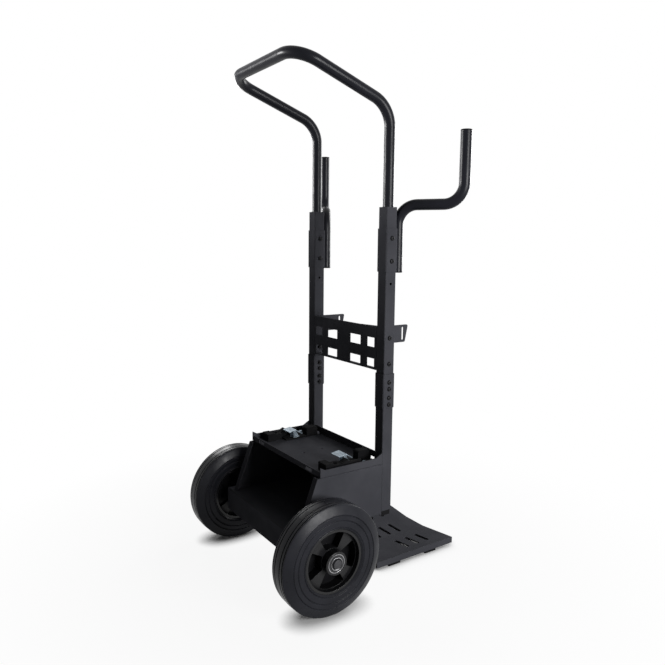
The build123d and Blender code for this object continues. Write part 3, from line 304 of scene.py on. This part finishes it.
class Finish:
    """A material with one Principled shader, whose inputs are fed by procedural textures."""

    def __init__(self, name, roughness, metallic=0.0, specular=0.5):
        self.material = bpy.data.materials.new(name)
        self.material.use_nodes = True
        self.tree = self.material.node_tree
        self.shader = self.tree.nodes["Principled BSDF"]
        self.shader.inputs["Roughness"].default_value = roughness
        self.shader.inputs["Metallic"].default_value = metallic
        self.shader.inputs["Specular IOR Level"].default_value = specular
        self.place = add_node(self.tree, "ShaderNodeTexCoord").outputs["Object"]

    def feed(self, socket, source):
        """Links an output to a socket of the shader."""
        self.tree.links.new(source, self.shader.inputs[socket])

    def noise(self, scale, detail, stretch=(1.0, 1.0, 1.0)):
        """Noise of about one lump in 1/scale metres, stretched along the axes."""
        mapping = add_node(self.tree, "ShaderNodeMapping", {"Vector": self.place}, {"Scale": stretch})
        links = {"Vector": mapping.outputs[0]}
        values = {"Scale": scale, "Detail": detail}
        return add_node(self.tree, "ShaderNodeTexNoise", links, values).outputs["Fac"]

    def spread(self, source, low, high, source_range=NOISE_MIDDLE):
        """Maps the middle of a noise, or another range of a value, onto the range low to high."""
        return map_range(self.tree, source, *source_range, low, high)

    def mix(self, factor, first, second):
        """Mixes two colours, each given as a colour or as an output of another node."""
        node = add_node(self.tree, "ShaderNodeMix", data_type="RGBA")
        self.tree.links.new(factor, node.inputs["Factor"])
        for socket, colour in ((node.inputs[MIX_FIRST], first), (node.inputs[MIX_SECOND], second)):
            if isinstance(colour, tuple):
                socket.default_value = (*colour, 1.0)
            else:
                self.tree.links.new(colour, socket)
        return node.outputs[MIX_RESULT]

    def uneven_gloss(self, noise, mean, stray):
        """Lets the roughness stray from its mean."""
        below, above = stray
        self.feed("Roughness", self.spread(noise, mean - below, mean + above))

    def relief(self, height, depth, strength, normal):
        """Bump of a depth in metres on top of another normal."""
        links = {"Height": height, "Normal": normal}
        bump = add_node(self.tree, "ShaderNodeBump", links, {"Distance": depth, "Strength": strength})
        self.feed("Normal", bump.outputs[0])

    def rounded(self, radius):
        """The normal of the surface with its edges rounded, and how near a point is to an edge."""
        bevel = add_node(self.tree, "ShaderNodeBevel", values={"Radius": radius}, samples=BEVEL_SAMPLES)
        plain = add_node(self.tree, "ShaderNodeNewGeometry").outputs["True Normal"]
        links = {0: bevel.outputs[0], 1: plain}
        dot = add_node(self.tree, "ShaderNodeVectorMath", links, operation="DOT_PRODUCT").outputs["Value"]
        return bevel.outputs[0], self.spread(dot, 1.0, 0.0, EDGE_DOT)

    def paint_recess_shade(self, deep, level):
        """Painted shade: lowers the gloss in deep recesses, as if their walls hid the surroundings from the
        mirror.
        """
        values = {"Distance": RECESS_REACH}
        shade = add_node(self.tree, "ShaderNodeAmbientOcclusion", values=values, samples=RECESS_SAMPLES)
        self.feed("Specular IOR Level", self.spread(shade.outputs["AO"], deep, level, RECESS_RANGE))


def powder_coat(name, dark, light, roughness, specular, peel, depth, rounding):
    """Sprayed paint: faint clouds of colour and gloss, orange peel, edges a little lighter in patches, from
    wear and a painted highlight.
    """
    made = Finish(name, roughness, specular=specular)
    body = made.mix(made.spread(made.noise(*PAINT_CLOUDS), 0.0, 1.0), dark, light)
    normal, near_edge = made.rounded(rounding)
    # Patches of lighter colour on the edges: partly wear, partly a painted highlight
    rubbed_and_lit = made.spread(made.noise(*PAINT_WEAR_AND_HIGHLIGHT), 0.0, MOST_WEAR_AND_HIGHLIGHT)
    worn_and_lit_edges = combine(made.tree, "MULTIPLY", near_edge, rubbed_and_lit)
    made.feed("Base Color", made.mix(worn_and_lit_edges, body, PAINT_EDGE_WEAR_AND_HIGHLIGHT))
    made.uneven_gloss(made.noise(*PAINT_SHEEN), roughness, PAINT_STRAY)
    made.relief(made.noise(peel, PEEL_DETAIL), depth, PEEL_STRENGTH, normal)
    return made.material


def moulded(name, dark, light, roughness, specular, grain, depth, recess_shade_specular=None):
    """Plastic, rubber or a blackened bolt: fine grain, uneven gloss and, if asked for, painted shade that
    lowers the gloss in recesses.
    """
    made = Finish(name, roughness, specular=specular)
    made.feed("Base Color", made.mix(made.spread(made.noise(*MOULD_CLOUDS), 0.0, 1.0), dark, light))
    made.uneven_gloss(made.noise(*MOULD_SHEEN), roughness, MOULD_STRAY)
    normal, _ = made.rounded(MOULD_ROUNDING)
    made.relief(made.noise(grain, GRAIN_DETAIL), depth, GRAIN_STRENGTH, normal)
    if recess_shade_specular is not None:
        made.paint_recess_shade(recess_shade_specular, specular)
    return made.material


def bare_metal(name, dark, light, roughness, grain, stretch):
    """Metal with drawn or turned grain."""
    made = Finish(name, roughness, metallic=1.0)
    lines = made.noise(grain, METAL_DETAIL, stretch)
    made.feed("Base Color", made.mix(made.spread(lines, 0.0, 1.0), dark, light))
    sheen = made.noise(grain / METAL_SHEEN_COARSER, METAL_SHEEN_DETAIL, stretch)
    made.uneven_gloss(sheen, roughness, METAL_STRAY)
    normal, _ = made.rounded(METAL_ROUNDING)
    made.relief(lines, METAL_DEPTH, METAL_STRENGTH, normal)
    return made.material


FINISHES = {}
for make_finish, looks in ((powder_coat, PAINTED), (moulded, MOULDED), (bare_metal, BARE_METAL)):
    for finish_name, look in looks.items():
        FINISHES[finish_name] = make_finish(finish_name, **look)


def dress_nodes():
    """Gives every CAD node the finish of its material slot in the record."""
    for part in frame["record"]["subparts"]:
        slots = nodes[part["node"]].data.materials
        slots.clear()
        slots.append(FINISHES[part["material_slot"]])


def full_turn(count):
    """Angles at equal steps round a circle."""
    return [2 * math.pi * i / count for i in range(count)]


class Shape:
    """Vertices and faces gathered for one piece."""

    def __init__(self):
        self.points = []
        self.faces = []

    def ring(self, points):
        """Adds points that go round a loop, and returns their numbers."""
        start = len(self.points)
        self.points += [tuple(point) for point in points]
        return list(range(start, len(self.points)))

    def bridge(self, first, second):
        """Joins two rings of as many points with a band of faces."""
        count = len(first)
        for i in range(count):
            j = (i + 1) % count
            self.faces.append((first[i], first[j], second[j], second[i]))

    def skin(self, rings):
        """Joins rings one after the other and closes both ends."""
        for first, second in zip(rings, rings[1:]):
            self.bridge(first, second)
        self.faces.append(tuple(reversed(rings[0])))
        self.faces.append(tuple(rings[-1]))

    def piece(self, name, slot, body="frame"):
        """Makes the shape a smooth-shaded piece that rides on a body."""
        mesh = bpy.data.meshes.new(name)
        mesh.from_pydata(self.points, [], self.faces)
        mesh.update()
        mesh.shade_smooth()
        mesh.set_sharp_from_angle(angle=SHARP_ANGLE)
        mesh.materials.append(FINISHES[slot])
        made = bpy.data.objects.new(name, mesh)
        bpy.context.collection.objects.link(made)
        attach(made, body)
        return made


def tyre_profile():
    """Half of the tyre's section as points (x, radius), from the bead to the middle of the tread."""
    points = [(TYRE_BEAD_HALF, TYRE_SEAT_R), (TYRE_BEAD_HALF, RIM_CLEAR_R), (RIM_HALF, RIM_CLEAR_R)]
    for ring_r in SIDEWALL_RINGS_R:
        points.append((TYRE_HALF, ring_r - SIDEWALL_GROOVE))
        points.append((TYRE_HALF - SIDEWALL_GROOVE, ring_r))
        points.append((TYRE_HALF, ring_r + SIDEWALL_GROOVE))

    # Shoulder: a straight slope with a shallow parabola on it, which stops short of the tread's edge
    start = Vector((TYRE_HALF, SHOULDER_R))
    edge = Vector((TREAD_HALF, TREAD_EDGE_R))
    slope = edge - start
    outward = Vector((slope.y, -slope.x)).normalized()
    straight = 1 - TREAD_EDGE_ROUND / slope.length
    for step in range(1, SHOULDER_STEPS + 1):
        share = straight * step / SHOULDER_STEPS
        bulge = SHOULDER_BULGE * 4 * share * (1 - share)
        points.append(tuple(start + slope * share + outward * bulge))

    # Tread: a rounded edge, then a slight crown with grooves in it
    crown = (TYRE_R - TREAD_EDGE_R) / TREAD_HALF
    first = Vector(points[-1])
    last = Vector((TREAD_HALF - TREAD_EDGE_ROUND, TREAD_EDGE_R + crown * TREAD_EDGE_ROUND))
    for share in QUARTERS:
        rest = 1 - share
        points.append(tuple(first * rest ** 2 + edge * (2 * share * rest) + last * share ** 2))
    for middle in TREAD_GROOVES_X:
        outer = middle + TREAD_GROOVE_HALF
        inner = middle - TREAD_GROOVE_HALF
        points += [(outer, TYRE_R - crown * outer), (outer, TREAD_GROOVE_R)]
        points += [(inner, TREAD_GROOVE_R), (inner, TYRE_R - crown * inner)]
    points.append((0.0, TYRE_R))
    return points


def make_tyres():
    """Tyres turned round the axle, in place of the CAD tyres, with their sizes and a flatter shoulder."""
    half = tyre_profile()
    section = [(-x, radius) for x, radius in half[:-1]] + list(reversed(half))
    turns = full_turn(TYRE_SEGMENTS)
    for name, middle in (("right", WHEEL_X), ("left", -WHEEL_X)):
        shape = Shape()
        rings = [
            shape.ring((middle + x, AXLE_Y + r * math.cos(a), AXLE_Z + r * math.sin(a)) for a in turns)
            for x, r in section
        ]
        for first, second in zip(rings, rings[1:] + rings[:1]):
            shape.bridge(first, second)
        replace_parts(shape.piece(f"tyre_{name}_turned", "tyre_rubber", f"wheel_{name}"), f"tyre_{name}")


def socket_bolt(shape, head_x, tail_x, y, z):
    """A button-head bolt along X with a hexagon socket, its head seated at head_x."""
    way = 1 if head_x > tail_x else -1
    length = abs(head_x - tail_x)
    turns = full_turn(BOLT_SEGMENTS)

    def outline(depth, radii):
        x = head_x + way * depth
        return shape.ring((x, y + r * math.cos(a), z + r * math.sin(a)) for a, r in zip(turns, radii))

    def circle(depth, radius):
        return outline(depth, [radius] * BOLT_SEGMENTS)

    def hexagon(depth):
        flats = [(a + math.pi / 6) % (math.pi / 3) - math.pi / 6 for a in turns]
        return outline(depth, [SOCKET_WIDTH / 2 / math.cos(flat) for flat in flats])

    rings = [
        circle(-length, BOLT_R - BOLT_CHAMFER),
        circle(-length + BOLT_CHAMFER, BOLT_R),
        circle(0.0, BOLT_R),
        circle(0.0, HEAD_R),
        circle(HEAD_EDGE, HEAD_R),
    ]
    for share in QUARTERS:
        angle = share * math.pi / 2
        height = HEAD_EDGE + (HEAD_H - HEAD_EDGE) * math.sin(angle)
        rings.append(circle(height, SOCKET_RIM_R + (HEAD_R - SOCKET_RIM_R) * math.cos(angle)))
    rings.append(hexagon(HEAD_H))
    rings.append(hexagon(HEAD_H - SOCKET_DEPTH))
    if way < 0:
        rings = [list(reversed(numbers)) for numbers in rings]
    shape.skin(rings)


def make_bolts():
    """Bolts with sockets in place of the plain CAD bolts."""
    for name, heights, head, nut in (
        ("sleeve_bolts", SLEEVE_BOLTS_Z, POST_X + COLLAR_HALF, POST_X - COLLAR_HALF),
        ("hook_bolts", HOOK_BOLTS_Z, POST_X + COLLAR_HALF, POST_X - COLLAR_HALF),
        ("bracket_bolts", BRACKET_BOLTS_Z, POST_X + POST_HALF, POST_X - POST_HALF - SHEET),
    ):
        shape = Shape()
        tail = nut - NUT_H - BOLT_TAIL
        for z in heights:
            for side in (1, -1):
                socket_bolt(shape, side * head, side * tail, POST_Y, z)
        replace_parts(shape.piece(name + "_socket", "black_fastener"), name)


def weld_bead(shape, start, end, radius):
    """A rippled bead of weld along a straight seam, thinner at its ends."""
    start = Vector(start)
    along = Vector(end) - start
    length = along.length
    along.normalize()
    across = along.orthogonal().normalized()
    third = along.cross(across)
    turns = full_turn(BEAD_SIDES)
    steps = max(BEAD_FEWEST_STEPS, round(length / (radius * BEAD_STEP)))
    swell_length = radius * BEAD_SWELL_LENGTH
    rings = []
    for i in range(steps + 1):
        share = i / steps
        from_end = min(share, 1 - share) * length
        swell = 1.0
        if from_end < swell_length:
            swell = min(1.0, math.sin(math.pi / 2 * from_end / swell_length) + BEAD_END)
        ripple = 1 - BEAD_RIPPLE + BEAD_RIPPLE * abs(math.sin(math.pi * i / STEPS_PER_RIPPLE))
        size = radius * swell * ripple
        middle = start + along * (share * length)
        rings.append(shape.ring(middle + size * (math.cos(a) * across + math.sin(a) * third) for a in turns))
    shape.skin(rings)


def make_welds():
    """Beads on the posts, along the hooks on their collars, on the beam and along the toe plate."""
    shape = Shape()
    post_rear = POST_Y - POST_HALF
    hook_y = POST_Y + COLLAR_HALF + HOOK_BEAD_LIFT
    hook_low = COLLAR.low.z + HOOK_BEAD_MARGIN
    hook_high = COLLAR.high.z - HOOK_BEAD_MARGIN
    hook_beads_z = ((hook_low, hook_low + HOOK_BEAD_LENGTH), (hook_high - HOOK_BEAD_LENGTH, hook_high))
    for side in (1, -1):
        post_inner = side * (POST_X - POST_HALF)
        post_outer = side * (POST_X + POST_HALF)
        plate_inner = post_outer - side * SHEET
        for low, high in PANEL_BEADS_Z:
            weld_bead(shape, (post_inner, PANEL_FRONT, low), (post_inner, PANEL_FRONT, high), BEAD_R)
        for low, high in SIDE_BEADS_Z:
            weld_bead(shape, (plate_inner, post_rear, low), (plate_inner, post_rear, high), BEAD_R)
        for rear, front in BEAM_BEADS_Y:
            weld_bead(shape, (post_outer, rear, BEAM_TOP), (post_outer, front, BEAM_TOP), BEAM_BEAD_R)
        for x in (side * POST_X - HOOK_BEAD_X, side * POST_X + HOOK_BEAD_X):
            for low, high in hook_beads_z:
                weld_bead(shape, (x, hook_y, low), (x, hook_y, high), HOOK_BEAD_R)
    for middle in TOE_BEADS_X:
        left = (middle - TOE_BEAD_HALF, PANEL_FRONT, TOE_UPSTAND_TOP)
        right = (middle + TOE_BEAD_HALF, PANEL_FRONT, TOE_UPSTAND_TOP)
        weld_bead(shape, left, right, BEAD_R)
    shape.piece("weld_beads", "painted_steel")


def latch_spring(name, x_start, x_end, side):
    """A torsion spring round the latch's pin, with one leg on the base and one under the thumb plate."""
    points = [(x_start, LATCH_Y + BASE_LEG_REACH, LATCH_SEAT + BASE_LEG_LIFT)]
    steps = round(SPRING_TURNS * SPRING_STEPS_PER_TURN)
    for i in range(steps + 1):
        angle = SPRING_START + 2 * math.pi * SPRING_TURNS * i / steps
        x = x_start + (x_end - x_start) * i / steps
        y = LATCH_Y + SPRING_COIL_R * math.cos(angle)
        z = LATCH_Z + SPRING_COIL_R * math.sin(angle)
        points.append((x, y, z))
    points.append((x_end, LATCH_Y - PLATE_LEG_REACH, LATCH_Z + SPRING_COIL_R - PLATE_LEG_DROP))
    curve = bpy.data.curves.new(name, "CURVE")
    curve.dimensions = "3D"
    curve.bevel_depth = SPRING_WIRE_R
    curve.bevel_resolution = SPRING_WIRE_STEPS
    curve.use_fill_caps = True
    line = curve.splines.new("POLY")
    line.points.add(len(points) - 1)
    for point, (x, y, z) in zip(line.points, points):
        point.co = (side * x, y, z, 1.0)
    curve.materials.append(FINISHES["zinc_steel"])
    made = bpy.data.objects.new(name, curve)
    bpy.context.collection.objects.link(made)
    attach(made, "frame")


def make_springs():
    """Two springs on the pin of each latch, one on either side of the lever."""
    for body, side in (("right", 1), ("left", -1)):
        for end, way in (("inner", -1), ("outer", 1)):
            near = LATCH_X + way * SPRING_INNER
            far = LATCH_X + way * SPRING_OUTER
            latch_spring(f"latch_spring_{body}_{end}", far, near, side)


def make_camera():
    """The camera, turned by yaw and pitch and then rolled round its own axis."""
    forward = Vector((
        -math.sin(CAMERA_YAW) * math.cos(CAMERA_PITCH),
        math.cos(CAMERA_YAW) * math.cos(CAMERA_PITCH),
        -math.sin(CAMERA_PITCH),
    ))
    level = Vector((math.cos(CAMERA_YAW), math.sin(CAMERA_YAW), 0.0))
    upright = level.cross(forward)
    right = math.cos(CAMERA_ROLL) * level + math.sin(CAMERA_ROLL) * upright
    up = right.cross(forward)
    data = bpy.data.cameras.new("camera")
    data.lens = CAMERA_LENS
    data.sensor_width = CAMERA_SENSOR
    camera = bpy.data.objects.new("camera", data)
    turned = Matrix((right, up, -forward)).transposed().to_4x4()
    camera.matrix_world = Matrix.Translation(CAMERA_AT) @ turned
    bpy.context.collection.objects.link(camera)
    bpy.context.scene.camera = camera


def make_lamp(name, at, aim, width, height, watts, spread=WIDE_BEAM):
    """A rectangular area lamp that the camera doesn't see."""
    data = bpy.data.lights.new(name, "AREA")
    data.shape = "RECTANGLE"
    data.size = width
    data.size_y = height
    data.energy = watts
    data.spread = math.radians(spread)
    lamp = bpy.data.objects.new(name, data)
    lamp.location = at
    lamp.rotation_euler = (Vector(aim) - Vector(at)).to_track_quat("-Z", "Y").to_euler()
    lamp.visible_camera = False
    bpy.context.collection.objects.link(lamp)


def seen_ray(tree):
    """1 for rays that show the background: camera, glossy and transmission rays."""
    path = add_node(tree, "ShaderNodeLightPath").outputs
    seen = combine(tree, "MAXIMUM", path["Is Camera Ray"], path["Is Glossy Ray"])
    return combine(tree, "MAXIMUM", seen, path["Is Transmission Ray"])


def floor_material():
    """Matt grey with a white glow for the rays that show the background, less of it near the object."""
    material = bpy.data.materials.new("floor")
    material.use_nodes = True
    tree = material.node_tree
    matt = tree.nodes["Principled BSDF"]
    matt.inputs["Base Color"].default_value = (*FLOOR_COLOUR, 1.0)
    matt.inputs["Roughness"].default_value = FLOOR_ROUGHNESS
    matt.inputs["Specular IOR Level"].default_value = 0.0
    position = add_node(tree, "ShaderNodeNewGeometry").outputs["Position"]
    distance = add_node(tree, "ShaderNodeVectorMath", {0: position}, operation="LENGTH").outputs["Value"]
    far = map_range(tree, distance, *GLOW_FADE, GLOW_NEAR, 1.0)
    values = {"Distance": SHADOW_REACH}
    shade = add_node(tree, "ShaderNodeAmbientOcclusion", values=values, samples=SHADOW_SAMPLES)
    open_sky = map_range(tree, shade.outputs["AO"], *SHADOW_RANGE, 0.0, 1.0)
    share = combine(tree, "MULTIPLY", combine(tree, "MULTIPLY", far, open_sky), seen_ray(tree))
    glow = add_node(tree, "ShaderNodeEmission", values={"Strength": 1.0})
    blend = add_node(tree, "ShaderNodeMixShader", {"Fac": share, 1: matt.outputs[0], 2: glow.outputs[0]})
    tree.links.new(blend.outputs[0], tree.nodes["Material Output"].inputs["Surface"])
    return material


def make_floor():
    """A pale floor, a hair below the feet and tyres."""
    half = FLOOR_HALF
    corners = [(x, y, FLOOR_Z) for x, y in ((-half, -half), (half, -half), (half, half), (-half, half))]
    mesh = bpy.data.meshes.new("floor")
    mesh.from_pydata(corners, [], [(0, 1, 2, 3)])
    mesh.materials.append(floor_material())
    floor = bpy.data.objects.new("floor", mesh)
    bpy.context.collection.objects.link(floor)


def make_world():
    """White for the rays that show the background, and a low fill for the rest."""
    world = bpy.data.worlds.new("world")
    world.use_nodes = True
    bpy.context.scene.world = world
    tree = world.node_tree
    back = tree.nodes["Background"]
    back.inputs["Color"].default_value = (1.0, 1.0, 1.0, 1.0)
    strength = map_range(tree, seen_ray(tree), 0.0, 1.0, WORLD_FILL, 1.0)
    tree.links.new(strength, back.inputs["Strength"])


dress_nodes()
make_tyres()
make_bolts()
make_welds()
make_springs()
make_camera()
for lamp_name, lamp_values in LAMPS.items():
    make_lamp(lamp_name, **lamp_values)
make_floor()
make_world()

bpy.context.scene.view_settings.view_transform = "Standard"
